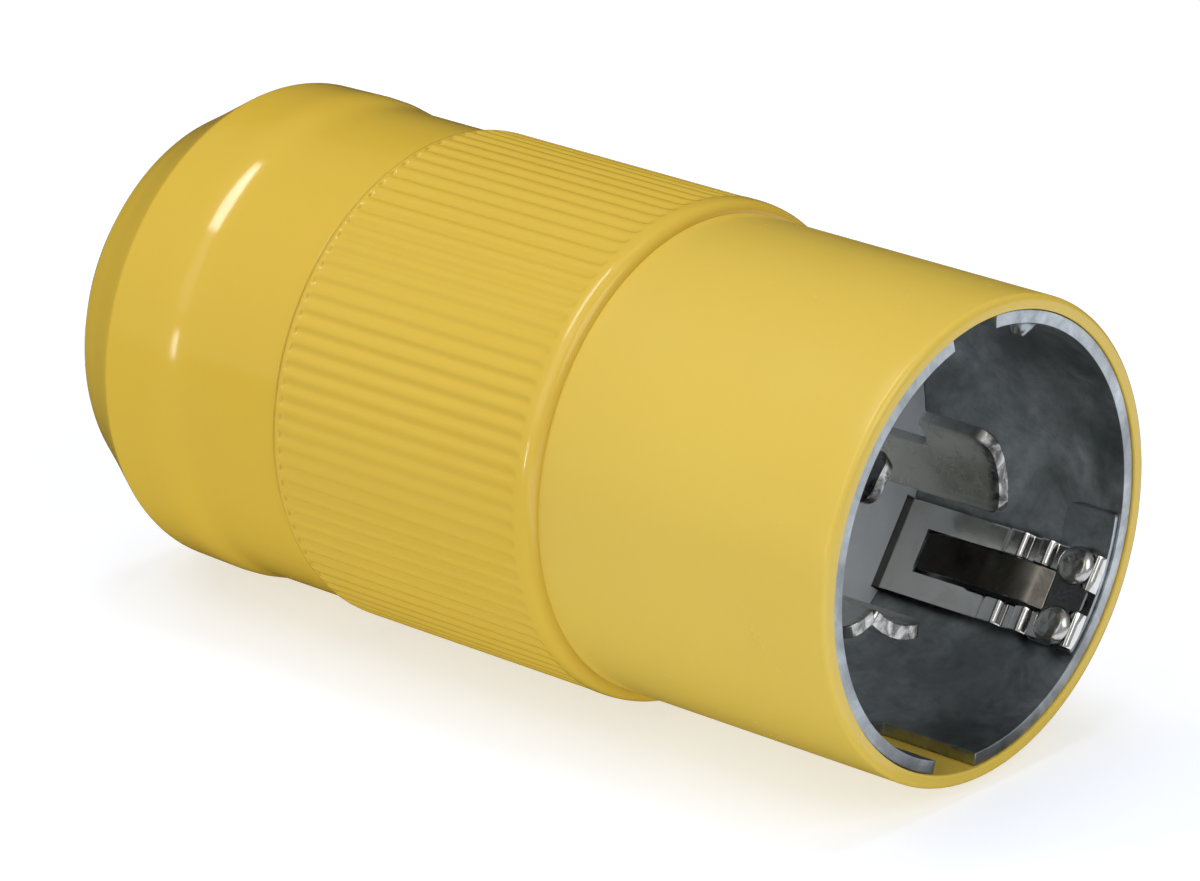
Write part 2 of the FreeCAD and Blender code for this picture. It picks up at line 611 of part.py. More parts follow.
# XZ_Plane's sketch runs along X and Z and looks along -Y
window = outline(body, "StrapWindow", "XZ_Plane", [
    ("-windowRear", "-windowWidth+2.95"), ("-windowFront", "-windowWidth+2.95"),
    ("-windowFront", "windowWidth-2.95"), ("-windowRear", "windowWidth-2.95")], offset="-30")
pocket(body, "StrapOpening", window, "10", reverse=True)
holes = new_sketch(body, "StrapHoles", "XZ_Plane", "-30")
for k, words in enumerate(("rivetSide", "-rivetSide")):
    holes.addGeometry(Part.Circle(V(-num("rivetBack"), num(words), 0), V(0, 0, 1), num("rivetHole")), False)
    index = holes.addConstraint(Sketcher.Constraint("Radius", k, num("rivetHole")))
    holes.setExpression("Constraints[%d]" % index, cells("rivetHole"))
    pin_point(holes, k, 3, "-rivetBack", words)
pocket(body, "StrapRivetHoles", holes, "10", reverse=True)
body.Placement = strip_place
node(body, "ground_strap")

# ---------------------------------------------------------------- contact leaf
# Arched leaf that springs through the strip's window, and the riveted root it
# is bent from, divided at the bend line.
body = new_body("contact_leaf_root")
side = outline(body, "RootSide", "XY_Plane", [
    ("-leafRoot", "stripInner-0.15"), ("-leafRoot", "stripInner+0.4"),
    ("-stripFront", "stripInner+0.4"), ("-stripFront", "stripInner-0.15")])
pad = body.newObject("PartDesign::Pad", "RootPad")
pad.Profile = side
pad.Length = num("platWidth")
pad.Midplane = True
bind(pad, "Length", "platWidth")
doc.recompute()
holes = new_sketch(body, "RootHoles", "XZ_Plane", "-30")
for k, words in enumerate(("rivetSide", "-rivetSide")):
    holes.addGeometry(Part.Circle(V(-num("rivetBack"), num(words), 0), V(0, 0, 1), num("rivetHole")), False)
    index = holes.addConstraint(Sketcher.Constraint("Radius", k, num("rivetHole")))
    holes.setExpression("Constraints[%d]" % index, cells("rivetHole"))
    pin_point(holes, k, 3, "-rivetBack", words)
pocket(body, "RootRivetHoles", holes, "10", reverse=True)
body.Placement = strip_place
node(body, "contact_leaf_root")

body = new_body("contact_leaf")
side = outline(body, "LeafSide", "XY_Plane", [
    ("-leafRoot-0.1", "stripInner-0.1"), ("-8.5", "stripInner-1.3"), ("-11.5", "stripInner-2.3"),
    ("-15", "stripInner-2.8"), ("-18.5", "stripInner-2.7"), ("-22", "stripInner-2"),
    ("-25", "stripInner-0.9"), ("-27", "stripInner-0.1"), ("-27", "stripInner+0.4"),
    ("-24.8", "stripInner-0.45"), ("-21.8", "stripInner-1.5"), ("-18.4", "stripInner-2.2"),
    ("-15", "stripInner-2.3"), ("-11.7", "stripInner-1.8"), ("-8.8", "stripInner-0.85"),
    ("-leafRoot-0.1", "stripInner+0.35")])
pad = body.newObject("PartDesign::Pad", "LeafPad")
pad.Profile = side
pad.Length = num("leafWidth")
pad.Midplane = True
bind(pad, "Length", "leafWidth")
doc.recompute()
body.Placement = strip_place
node(body, "contact_leaf")

# ---------------------------------------------------------------- foot plate and rivets
foot_blank = sector("FootBlank", "footInner", "footOuter", "footFront+footLength", "footLength",
                    num("footStart"), num("footSpan"))
foot_holes = fuse("FootHoles", [
    post("FootHole0", ground_angle, "rivetBack", "stripInner", "5", "rivetHole", side="rivetSide"),
    post("FootHole1", ground_angle, "rivetBack", "stripInner", "5", "rivetHole", side="-rivetSide")])
node(cut("FootPlate", foot_blank, foot_holes), "ground_foot_plate")

dome_height = num("rivetDome")
dome_base = num("rivetHead")
dome_radius = (dome_base ** 2 + dome_height ** 2) / (2 * dome_height)
rivets = []
for k, words in enumerate(("rivetSide", "-rivetSide")):
    shank = post("RivetShank%d" % k, ground_angle, "rivetBack", "stripInner-0.4", "2.2",
                 "rivetShank", side=words)
    head = doc.addObject("Part::Sphere", "RivetHead%d" % k)
    head.Radius = dome_radius
    head.setExpression("Radius", "(Sizes.rivetHead^2 + Sizes.rivetDome^2) / (2 * Sizes.rivetDome)")
    head.Angle1 = math.degrees(math.asin((dome_radius - dome_height) / dome_radius))
    head.Angle2 = 90.0
    down = Rot(V(1, 0, 0), num("stripAngle") + 90.0)
    centre = turn.multVec(V(-num("rivetBack"), num("stripInner") - 0.15 + dome_radius - dome_height,
                            num(words)))
    head.Placement = Place(centre, down)
    rivets.append(fuse("Rivet%d" % k, [shank, head]))
node(fuse("FootRivets", rivets, refine=False), "foot_rivets")

# ---------------------------------------------------------------- cable entry
body = new_body("gland_seat")
revolve(body, "SeatTurned", [
    ("coreRear+3", "seatInner"), ("coreRear+3", "seatFlange"), ("seatFlangeEnd+1.5", "seatFlange"),
    ("seatFlangeEnd+1.5", "seatOuter"), ("seatTaper", "seatOuter"), ("seatBack", "seatBackRadius"),
    ("seatBack", "seatHole+1.9"), ("seatBack-2.4", "seatHole"), ("seatBack-4", "seatHole"),
    ("seatInnerEnd", "seatInner")])
node(body, "gland_seat")

body = new_body("cable_grommet")
revolve(body, "GrommetTurned", [
    ("seatBack", "grommetBore"), ("seatBack", "grommetNose"), ("grommetWaist", "grommetOuter"),
    ("grommetRear", "grommetOuter"), ("grommetRear", "grommetBore")])
node(body, "cable_grommet")

body = new_body("slip_washer")
revolve(body, "WasherTurned", [
    ("grommetRear", "washerInner"), ("grommetRear", "washerOuter"),
    ("capSeat", "washerOuter"), ("capSeat", "washerInner")])
node(body, "slip_washer")

# ---------------------------------------------------------------- check and write
doc.recompute()
for thing in doc.Objects:
    if "Invalid" in thing.State or "Error" in thing.State:
        raise RuntimeError("failed: %s %s" % (thing.Name, thing.State))
os.makedirs("parts", exist_ok=True)
for label, thing in NODES:
    shape = thing.Shape
    if shape.isNull() or not shape.isValid():
        raise RuntimeError("bad shape: " + label)
    print("%-20s solids %d volume %.1f box %s" % (
        label, len(shape.Solids), shape.Volume,
        [round(v, 2) for v in (shape.BoundBox.XMin, shape.BoundBox.XMax, shape.BoundBox.YMin,
                               shape.BoundBox.YMax, shape.BoundBox.ZMin, shape.BoundBox.ZMax)]))
    shape.exportStep("parts/%s.step" % label)
print("nodes", len(NODES))
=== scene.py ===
import bpy, bmesh, math, random
import numpy as np
from mathutils import Matrix, Vector, noise


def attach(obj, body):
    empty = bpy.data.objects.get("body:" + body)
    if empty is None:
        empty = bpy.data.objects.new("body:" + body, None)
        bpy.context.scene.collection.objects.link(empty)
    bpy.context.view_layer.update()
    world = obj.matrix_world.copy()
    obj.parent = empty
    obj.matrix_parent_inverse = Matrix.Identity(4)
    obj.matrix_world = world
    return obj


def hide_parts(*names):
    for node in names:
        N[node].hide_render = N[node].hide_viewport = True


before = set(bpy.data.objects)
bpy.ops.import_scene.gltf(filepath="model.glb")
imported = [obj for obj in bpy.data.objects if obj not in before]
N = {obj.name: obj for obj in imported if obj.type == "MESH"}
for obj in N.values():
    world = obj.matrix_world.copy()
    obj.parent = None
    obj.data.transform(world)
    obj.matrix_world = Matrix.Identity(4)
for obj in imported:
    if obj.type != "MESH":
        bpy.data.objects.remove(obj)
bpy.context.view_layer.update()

MM = 0.001
random.seed(7)

# ------------------------------------------------------------------ camera
cam_data = bpy.data.cameras.new("camera")
cam = bpy.data.objects.new("camera", cam_data)
bpy.context.scene.collection.objects.link(cam)
right = Vector((0.74706, 0.66476, 0.0)).normalized()
look = Vector((-0.6216, 0.69855, -0.35446)).normalized()
up = right.cross(look).normalized()
right = look.cross(up).normalized()
m = Matrix((right, up, -look)).transposed().to_4x4()
m.translation = Vector((0.46628, -0.59604, 0.29987))
cam.matrix_world = m
cam_data.sensor_width = 36.0
cam_data.sensor_fit = "HORIZONTAL"
cam_data.lens = 198.0
cam_data.clip_start = 0.01
cam_data.clip_end = 20.0
bpy.context.scene.camera = cam
bpy.context.scene.view_settings.view_transform = "Standard"


# ------------------------------------------------------------------ materials
def srgb(r, g, b):
    out = []
    for c in (r, g, b):
        c /= 255.0
        out.append(c / 12.92 if c <= 0.04045 else ((c + 0.055) / 1.055) ** 2.4)
    return (*out, 1.0)


class Mat:
    """Small helper that lays out a Principled material and its procedural inputs."""

    def __init__(self, name):
        self.mat = bpy.data.materials.new(name)
        self.mat.use_nodes = True
        self.nt = self.mat.node_tree
        self.nt.nodes.clear()
        self.out = self.nt.nodes.new("ShaderNodeOutputMaterial")
        self.bsdf = self.nt.nodes.new("ShaderNodeBsdfPrincipled")
        self.nt.links.new(self.bsdf.outputs[0], self.out.inputs[0])
        self.coord = self.nt.nodes.new("ShaderNodeTexCoord").outputs["Object"]

    def set(self, **kw):
        for k, v in kw.items():
            self.bsdf.inputs[k.replace("_", " ")].default_value = v
        return self

    def link(self, a, b):
        self.nt.links.new(a, b)

    def noise(self, scale, detail=3.0, rough=0.55, stretch=None, distortion=0.0):
        vec = self.coord
        if stretch is not None:
            mp = self.nt.nodes.new("ShaderNodeMapping")
            mp.inputs["Scale"].default_value = stretch
            self.link(vec, mp.inputs["Vector"])
            vec = mp.outputs["Vector"]
        n = self.nt.nodes.new("ShaderNodeTexNoise")
        n.inputs["Scale"].default_value = scale
        n.inputs["Detail"].default_value = detail
        n.inputs["Roughness"].default_value = rough
        n.inputs["Distortion"].default_value = distortion
        self.link(vec, n.inputs["Vector"])
        return n.outputs["Fac"]

    def voronoi(self, scale, stretch=None, feature="F1"):
        vec = self.coord
        if stretch is not None:
            mp = self.nt.nodes.new("ShaderNodeMapping")
            mp.inputs["Scale"].default_value = stretch
            self.link(vec, mp.inputs["Vector"])
            vec = mp.outputs["Vector"]
        n = self.nt.nodes.new("ShaderNodeTexVoronoi")
        n.feature = feature
        n.inputs["Scale"].default_value = scale
        self.link(vec, n.inputs["Vector"])
        return n.outputs["Distance"]

    def depth(self, near, far):
        """0 at one depth behind the rim (in metres) and 1 at another."""
        x = self.nt.nodes.new("ShaderNodeSeparateXYZ")
        self.link(self.coord, x.inputs["Vector"])
        return self.range(x.outputs["X"], 0.0, 1.0, -near, -far)

    def ramp(self, fac, stops):
        r = self.nt.nodes.new("ShaderNodeValToRGB")
        el = r.color_ramp.elements
        while len(el) < len(stops):
            el.new(0.5)
        for e, (p, c) in zip(el, stops):
            e.position = p
            e.color = c
        self.link(fac, r.inputs["Fac"])
        return r.outputs["Color"]

    def range(self, fac, a, b, lo=0.0, hi=1.0):
        n = self.nt.nodes.new("ShaderNodeMapRange")
        n.inputs["From Min"].default_value = lo
        n.inputs["From Max"].default_value = hi
        n.inputs["To Min"].default_value = a
        n.inputs["To Max"].default_value = b
        self.link(fac, n.inputs["Value"])
        return n.outputs["Result"]

    def mix(self, fac, a, b, mode="MIX"):
        n = self.nt.nodes.new("ShaderNodeMix")
        n.data_type = "RGBA"
        n.blend_type = mode
        if isinstance(fac, (int, float)):
            n.inputs[0].default_value = fac
        else:
            self.link(fac, n.inputs[0])
        for s, i in ((a, 6), (b, 7)):
            if isinstance(s, tuple):
                n.inputs[i].default_value = s
            else:
                self.link(s, n.inputs[i])
        return n.outputs[2]

    def math(self, op, a, b=None):
        n = self.nt.nodes.new("ShaderNodeMath")
        n.operation = op
        for i, s in enumerate((a, b)):
            if s is None:
                continue
            if isinstance(s, (int, float)):
                n.inputs[i].default_value = s
            else:
                self.link(s, n.inputs[i])
        return n.outputs[0]

    def bump(self, height, strength, distance, normal=None):
        b = self.nt.nodes.new("ShaderNodeBump")
        b.inputs["Strength"].default_value = strength
        b.inputs["Distance"].default_value = distance
        self.link(height, b.inputs["Height"])
        if normal is not None:
            self.link(normal, b.inputs["Normal"])
        return b.outputs["Normal"]

    def edge(self, radius, lo=0.0, hi=1.0):
        """1 near convex edges, from the surface's pointiness."""
        g = self.nt.nodes.new("ShaderNodeNewGeometry")
        return self.range(g.outputs["Pointiness"], 0.0, 1.0, lo, hi)

    def use(self, **links):
        for k, v in links.items():
            self.link(v, self.bsdf.inputs[k.replace("_", " ")])
        return self


def yellow_nylon(name, base=(0.70, 0.48, 0.055), rough=0.22):
    """Moulded nylon: slow colour drift, faint flow marks, fine surface grain and a few dull handling marks."""
    k = Mat(name)

    def tint(f, g=1.0):
        return (base[0] * f, base[1] * f * g, base[2] * f * g, 1.0)

    big = k.noise(14.0, 2.0, 0.5)
    mid = k.noise(90.0, 4.0, 0.6)
    flow = k.noise(40.0, 3.0, 0.55, stretch=(0.2, 1.0, 1.0), distortion=0.5)
    grain = k.noise(800.0, 3.0, 0.55)
    fine = k.noise(3000.0, 2.0, 0.5)
    col = k.ramp(big, [(0.30, tint(0.965, 0.98)), (0.55, tint(1.0)), (0.80, tint(1.03, 1.015))])
    col = k.mix(k.range(flow, 0.0, 0.5, 0.48, 0.72), col, tint(0.96, 0.965))
    scuff = k.noise(380.0, 5.0, 0.7, stretch=(0.25, 1.0, 1.0), distortion=0.4)
    mask = k.range(scuff, 0.0, 1.0, 0.68, 0.76)
    col = k.mix(k.math("MULTIPLY", mask, 0.10), col, tint(1.12, 1.1))
    r = k.range(mid, rough - 0.03, rough + 0.045, 0.3, 0.7)
    r = k.math("ADD", r, k.math("MULTIPLY", mask, 0.09))
    k.use(Base_Color=col, Roughness=r)
    nrm = k.bump(flow, 0.035, 0.0004)
    nrm = k.bump(grain, 0.07, 0.00005, nrm)
    nrm = k.bump(fine, 0.04, 0.00002, nrm)
    k.use(Normal=nrm)
    k.set(IOR=1.50, Subsurface_Weight=0.06, Subsurface_Scale=0.0012, Subsurface_Radius=(1.0, 0.6, 0.15))
    return k.mat


def zinc(name, light=1.0, rough=0.33):
    """Zinc-plated sheet: cloudy grey with darker blotches, brighter rubbed spots and a drawn grain along the tube."""
    k = Mat(name)

    def grey(v):
        v *= light
        return srgb(v, v * 1.03, v * 1.04)

    cloud = k.noise(110.0, 6.0, 0.66, distortion=0.7)
    blot = k.noise(36.0, 5.0, 0.62, distortion=0.9)
    grain = k.noise(900.0, 3.0, 0.5, stretch=(0.06, 1.0, 1.0))
    speck = k.voronoi(1500.0)
    base = k.ramp(cloud, [(0.30, grey(132)), (0.5, grey(172)), (0.72, grey(208))])
    base = k.mix(k.range(blot, 0.0, 0.7, 0.44, 0.64), base, grey(112))
    mottle = k.noise(420.0, 5.0, 0.7)
    base = k.mix(k.range(mottle, 0.0, 0.30, 0.48, 0.68), base, grey(86))
    r = k.range(cloud, rough - 0.08, rough + 0.14, 0.25, 0.75)
    r = k.math("ADD", r, k.range(speck, 0.08, 0.0, 0.0, 0.25))
    k.use(Base_Color=base, Roughness=r, Normal=k.bump(grain, 0.10, 0.00004, k.bump(cloud, 0.22, 0.00018)))
    k.set(Metallic=1.0)
    return k.mat


def bright(name, col=(214, 213, 208), rough=0.13):
    """Nickel-plated contact metal: nearly mirror-like, with fine rub marks and dulled patches."""
    k = Mat(name)
    cloud = k.noise(260.0, 5.0, 0.65, distortion=0.5)
    rub = k.noise(1500.0, 4.0, 0.6, stretch=(0.08, 1.0, 1.0))
    base = k.mix(k.range(cloud, 0.0, 0.45, 0.5, 0.78), srgb(*col), srgb(col[0] - 62, col[1] - 62, col[2] - 64))
    r = k.range(cloud, rough - 0.05, rough + 0.12, 0.3, 0.75)
    r = k.math("ADD", r, k.range(rub, 0.0, 0.10, 0.55, 0.8))
    k.use(Base_Color=base, Roughness=r, Normal=k.bump(rub, 0.08, 0.00003, k.bump(cloud, 0.15, 0.00008)))
    k.set(Metallic=1.0)
    return k.mat


def moulding(name, col, rough=0.42, spread=14):
    """Matte thermoset moulding with a fine filled grain."""
    k = Mat(name)
    big = k.noise(60.0, 4.0, 0.6)
    grain = k.noise(2400.0, 3.0, 0.6)
    speck = k.voronoi(2600.0)
    c0 = srgb(*[max(0, v - spread) for v in col])
    c1 = srgb(*[min(255, v + spread) for v in col])
    base = k.ramp(big, [(0.3, c0), (0.7, c1)])
    base = k.mix(k.range(speck, 0.25, 0.0, 0.0, 0.25), base, c0)
    r = k.range(big, rough - 0.06, rough + 0.08, 0.3, 0.7)
    k.use(Base_Color=base, Roughness=r, Normal=k.bump(grain, 0.18, 0.00005, k.bump(big, 0.1, 0.0001)))
    k.set(IOR=1.5)
    return k.mat


def rubber(name, col=(34, 34, 35)):
    k = Mat(name)
    big = k.noise(110.0, 4.0, 0.6)
    grain = k.noise(3200.0, 2.0, 0.5)
    dust = k.noise(600.0, 5.0, 0.7)
    base = k.ramp(big, [(0.3, srgb(*[max(0, v - 8) for v in col])), (0.75, srgb(*[v + 10 for v in col]))])
    base = k.mix(k.range(dust, 0.0, 0.16, 0.6, 0.8), base, srgb(120, 116, 108))
    k.use(Base_Color=base, Roughness=k.range(big, 0.52, 0.72, 0.3, 0.7), Normal=k.bump(grain, 0.25, 0.00006))
    k.set(IOR=1.5)
    return k.mat


def brass(name, col=(196, 158, 92)):
    k = Mat(name)
    cloud = k.noise(180.0, 5.0, 0.65, distortion=0.6)
    lines = k.noise(2200.0, 2.0, 0.5, stretch=(0.05, 1.0, 1.0))
    base = k.mix(k.range(cloud, 0.0, 0.6, 0.45, 0.75), srgb(*col), srgb(col[0] - 58, col[1] - 56, col[2] - 40))
    k.use(Base_Color=base, Roughness=k.range(cloud, 0.2, 0.42, 0.3, 0.7), Normal=k.bump(lines, 0.15, 0.00004))
    k.set(Metallic=1.0)
    return k.mat


M_YELLOW = yellow_nylon("yellow_nylon_sleeve", (0.735, 0.525, 0.080), 0.23)
M_GRIP = yellow_nylon("yellow_nylon_grip", (0.72, 0.495, 0.060), 0.16)
M_CAP = yellow_nylon("yellow_nylon_cap", (0.72, 0.49, 0.055), 0.12)
M_ZINC = zinc("zinc_shell", 1.08)
M_ZINC2 = zinc("zinc_foot", rough=0.28)
M_STRIP = bright("nickel_strip", (222, 221, 216), 0.10)


def blade_metal(name):
    """Plated blade: clean on its sides, scuffed and blotched at the struck tip."""
    k = Mat(name)
    cloud = k.noise(260.0, 5.0, 0.65, distortion=0.5)
    blot = k.noise(430.0, 4.0, 0.6, distortion=0.8)
    rub = k.noise(1500.0, 4.0, 0.6, stretch=(0.08, 1.0, 1.0))
    side = k.mix(k.range(cloud, 0.0, 0.45, 0.5, 0.78), srgb(206, 204, 196), srgb(144, 142, 134))
    tip = k.ramp(blot, [(0.34, srgb(66, 66, 66)), (0.46, srgb(122, 121, 118)), (0.56, srgb(178, 177, 172)), (0.7, srgb(214, 213, 208))])
    k.use(Base_Color=k.mix(k.depth(0.0094, 0.0106), tip, side), Roughness=k.range(blot, 0.30, 0.14, 0.35, 0.65),
          Normal=k.bump(rub, 0.08, 0.00003, k.bump(blot, 0.2, 0.0001)))
    k.set(Metallic=1.0)
    return k.mat


M_BLADE = blade_metal("nickel_blade")
M_RIVET = bright("nickel_rivet", (196, 195, 190), 0.2)


def leaf_metal(name):
    """Spring leaf: pale metal at its front crown, with a painted dark reflection taking it nearly to black towards the
    rear.
    """
    k = Mat(name)
    cloud = k.noise(240.0, 5.0, 0.65, distortion=0.6)
    rub = k.noise(1500.0, 4.0, 0.6, stretch=(0.08, 1.0, 1.0))
    # painted dark reflection: from 8.5 mm to 15.5 mm behind the rim the colour fades from pale metal to near black
    far = k.depth(0.0085, 0.0155)
    pale = k.ramp(cloud, [(0.3, srgb(128, 122, 112)), (0.7, srgb(166, 160, 148))])
    painted_dark_reflection = k.ramp(cloud, [(0.3, srgb(30, 28, 25)), (0.75, srgb(62, 58, 52))])
    base = k.mix(far, pale, painted_dark_reflection)
    k.use(Base_Color=base, Roughness=k.range(cloud, 0.16, 0.30, 0.3, 0.75),
          Normal=k.bump(rub, 0.08, 0.00003, k.bump(cloud, 0.15, 0.00008)))
    k.set(Metallic=1.0)
    return k.mat


# the leaf's rear is painted near-black as a dark reflection
M_LEAF = leaf_metal("nickel_leaf_painted_reflection")
M_LEAFROOT = bright("nickel_root_dark", (120, 120, 118), 0.24)
M_GREY = moulding("grey_base", (192, 196, 198))
M_GREY2 = moulding("grey_terminal_block", (120, 124, 126))
M_DARK = moulding("dark_gland", (44, 44, 47), 0.5, 8)
M_WASH = moulding("washer_acetal", (206, 204, 196), 0.35, 8)
M_RUBBER = rubber("rubber_grommet")
M_GASKET = rubber("rubber_gasket", (52, 50, 48))
M_BRASS = brass("brass_terminal")
M_NICKELBLOCK = brass("plated_terminal", (190, 186, 176))
M_STEELSCREW = zinc("zinc_screw", rough=0.25)


def green_metal(name):
    k = Mat(name)
    cloud = k.noise(300.0, 4.0, 0.6)
    base = k.ramp(cloud, [(0.3, srgb(20, 88, 44)), (0.7, srgb(38, 120, 62))])
    k.use(Base_Color=base, Roughness=k.range(cloud, 0.26, 0.42, 0.3, 0.7), Normal=k.bump(cloud, 0.1, 0.00005))
    k.set(Metallic=0.85)
    return k.mat


M_GREEN = green_metal("green_screw")


# ------------------------------------------------------------------ mesh tools
def add_object(name, verts, faces, mat, body, replaced=(), smooth=35.0, bevel=None, subsurf=0):
    me = bpy.data.meshes.new(name)
    me.from_pydata([tuple(v) for v in verts], [], faces)
    me.validate()
    me.update()
    o = bpy.data.objects.new(name, me)
    bpy.context.scene.collection.objects.link(o)
    me.materials.append(mat)
    bm = bmesh.new()
    bm.from_mesh(me)
    bmesh.ops.remove_doubles(bm, verts=bm.verts, dist=1e-7)
    bmesh.ops.recalc_face_normals(bm, faces=bm.faces)
    bm.to_mesh(me)
    bm.free()
    for p in me.polygons:
        p.use_smooth = True
    if bevel:
        b = o.modifiers.new("bevel", "BEVEL")
        b.width = bevel[0] * MM
        b.segments = bevel[1]
        b.limit_method = "ANGLE"
        b.angle_limit = math.radians(bevel[2] if len(bevel) > 2 else 35)
        b.harden_normals = False
        b.use_clamp_overlap = True
    if subsurf:
        s = o.modifiers.new("subsurf", "SUBSURF")
        s.levels = subsurf
        s.render_levels = subsurf
    if smooth is not None:
        with bpy.context.temp_override(object=o, active_object=o, selected_objects=[o], selected_editable_objects=[o]):
            bpy.ops.object.shade_smooth_by_angle(angle=math.radians(smooth))
    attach(o, body)
    if replaced:
        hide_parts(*replaced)
    return o


def arc(c, r, a0, a1, n):
    """Points of a circular arc, for profiles: centre (depth, radius), angles in degrees."""
    return [(c[0] + r * math.cos(math.radians(a0 + (a1 - a0) * i / n)),
             c[1] + r * math.sin(math.radians(a0 + (a1 - a0) * i / n))) for i in range(n + 1)]


def rounded(points, radii, n=5):
    """Closed polygon (depth, radius) with each corner rounded by its radius (0 keeps it sharp)."""
    out = []
    k = len(points)
    for i in range(k):
        p0, p1, p2 = (Vector(points[(i - 1) % k]), Vector(points[i]), Vector(points[(i + 1) % k]))
        r = radii[i]
        if r <= 0:
            out.append(tuple(p1))
            continue
        d0, d1 = (p0 - p1), (p2 - p1)
        l0, l1 = d0.length, d1.length
        d0.normalize(), d1.normalize()
        ang = d0.angle(d1)
        tl = min(r / math.tan(ang / 2), 0.49 * l0, 0.49 * l1)
        rr = tl * math.tan(ang / 2)
        bis = (d0 + d1).normalized()
        c = p1 + bis * (rr / math.sin(ang / 2))
        s0, s1 = p1 + d0 * tl - c, p1 + d1 * tl - c
        a0 = math.atan2(s0.y, s0.x)
        a1 = math.atan2(s1.y, s1.x)
        da = (a1 - a0 + math.pi) % (2 * math.pi) - math.pi
        m = max(2, int(round(n * abs(da) / (math.pi / 2))) + 1)
        for j in range(m + 1):
            a = a0 + da * j / m
            out.append((c.x + rr * math.cos(a), c.y + rr * math.sin(a)))
    return out


def densify(points, step):
    """Splits long straight runs of a closed profile so that faces stay well shaped."""
    out = []
    k = len(points)
    for i in range(k):
        a, b = Vector(points[i]), Vector(points[(i + 1) % k])
        n = max(1, int(math.ceil((b - a).length / step)))
        out += [tuple(a.lerp(b, j / n)) for j in range(n)]
    return out


def lathe(profile, count, radius_at=None):
    """Closed solid of revolution about X: profile of (depth, radius) in mm, depth behind the rim."""
    verts, faces = [], []
    k = len(profile)
    for j in range(count):
        phi = 2 * math.pi * j / count
        c, s = math.cos(phi), math.sin(phi)
        for d, r in profile:
            rr = radius_at(d, r, phi) if radius_at else r
            verts.append((-d * MM, rr * c * MM, rr * s * MM))
    for j in range(count):
        a, b = j * k, ((j + 1) % count) * k
        for i in range(k):
            i2 = (i + 1) % k
            faces.append((a + i, a + i2, b + i2, b + i))
    return verts, faces


def finish_mesh(name, bm, mat, body, replaced=(), smooth=38.0, weighted=True):
    """Turns a bmesh into a shown piece that rides on a body."""
    bmesh.ops.remove_doubles(bm, verts=bm.verts, dist=2e-7)
    bmesh.ops.recalc_face_normals(bm, faces=bm.faces)
    me = bpy.data.meshes.new(name)
    bm.to_mesh(me)
    bm.free()
    me.materials.append(mat)
    for p in me.polygons:
        p.use_smooth = True
    me.set_sharp_from_angle(angle=math.radians(smooth))
    o = bpy.data.objects.new(name, me)
    bpy.context.scene.collection.objects.link(o)
    if weighted:
        w = o.modifiers.new("weighted", "WEIGHTED_NORMAL")
        w.keep_sharp = True
    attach(o, body)
    if replaced:
        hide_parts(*replaced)
    return o


def soften(bm, width, segments=3, angle=35.0, wanted=None):
    """Rounds the sharp edges of a bmesh that is still in millimetres."""
    edges = []
    for e in bm.edges:
        if len(e.link_faces) == 2 and e.calc_face_angle(0.0) > math.radians(angle):
            if wanted is None or wanted(e):
                edges.append(e)
    if edges:
        bmesh.ops.bevel(bm, geom=edges, offset=width, offset_type="OFFSET", segments=segments, profile=0.5,
                        affect="EDGES", clamp_overlap=True)


def plate(outline, t0, t1, mapper, width=0.3, segments=3, step=1.0, vstep=None):
    """Flat plate with a closed outline (u, v), rounded edges, divided and bent into place by mapper(u, v, t)."""
    bm = bmesh.new()
    low = [bm.verts.new((u, v, t0)) for u, v in outline]
    face = bm.faces.new(low)
    ext = bmesh.ops.extrude_face_region(bm, geom=[face])
    for g in ext["geom"]:
        if isinstance(g, bmesh.types.BMVert):
            g.co.z = t1
    bmesh.ops.recalc_face_normals(bm, faces=bm.faces)
    soften(bm, width, segments, 60.0, lambda e: abs(e.verts[0].co.z - e.verts[1].co.z) < 1e-6)
    for axis, gap in ((0, step), (1, vstep)):
        if not gap:
            continue
        values = [v.co[axis] for v in bm.verts]
        n = int((max(values) - min(values)) / gap)
        for i in range(1, n + 1):
            at = min(values) + (max(values) - min(values)) * i / (n + 1)
            co, no = [0, 0, 0], [0, 0, 0]
            co[axis], no[axis] = at, 1
            bmesh.ops.bisect_plane(bm, geom=bm.verts[:] + bm.edges[:] + bm.faces[:], plane_co=co, plane_no=no)
    for v in bm.verts:
        v.co = Vector(mapper(v.co.x, v.co.y, v.co.z)) * MM
    return bm


def grid_solid(us, vs, keep, mapper, closed=False, width=None, segments=2, angle=35.0):
    """Sheet on a grid of cells with openings; mapper(u, v, side) gives the two faces' points in millimetres."""
    bm = bmesh.new()
    index = {}
    nu, nv = len(us), len(vs)

    def point(i, j, k):
        i %= nu
        if (i, j, k) not in index:
            index[(i, j, k)] = bm.verts.new(mapper(us[i], vs[j], k))
        return index[(i, j, k)]

    cols = nu if closed else nu - 1

    def has(i, j):
        if closed:
            i %= nu
        elif i < 0 or i >= cols:
            return False
        return 0 <= j < nv - 1 and keep(i, j)

    for i in range(cols):
        for j in range(nv - 1):
            if not has(i, j):
                continue
            for k in (0, 1):
                bm.faces.new([point(i, j, k), point(i + 1, j, k), point(i + 1, j + 1, k), point(i, j + 1, k)])
            for di, dj, a, b in ((-1, 0, (i, j), (i, j + 1)), (1, 0, (i + 1, j), (i + 1, j + 1)),
                                 (0, -1, (i, j), (i + 1, j)), (0, 1, (i, j + 1), (i + 1, j + 1))):
                if not has(i + di, j + dj):
                    bm.faces.new([point(*a, 0), point(*b, 0), point(*b, 1), point(*a, 1)])
    bmesh.ops.recalc_face_normals(bm, faces=bm.faces)
    if width:
        soften(bm, width, segments, angle)
    for v in bm.verts:
        v.co = v.co * MM
    return bm


def steps(points, gap):
    """Rising values through the given ones, never further apart than the gap."""
    out = []
    for a, b in zip(points[:-1], points[1:]):
        n = max(1, int(math.ceil((b - a) / gap)))
        out += [a + (b - a) * i / n for i in range(n)]
    return out + [points[-1]]


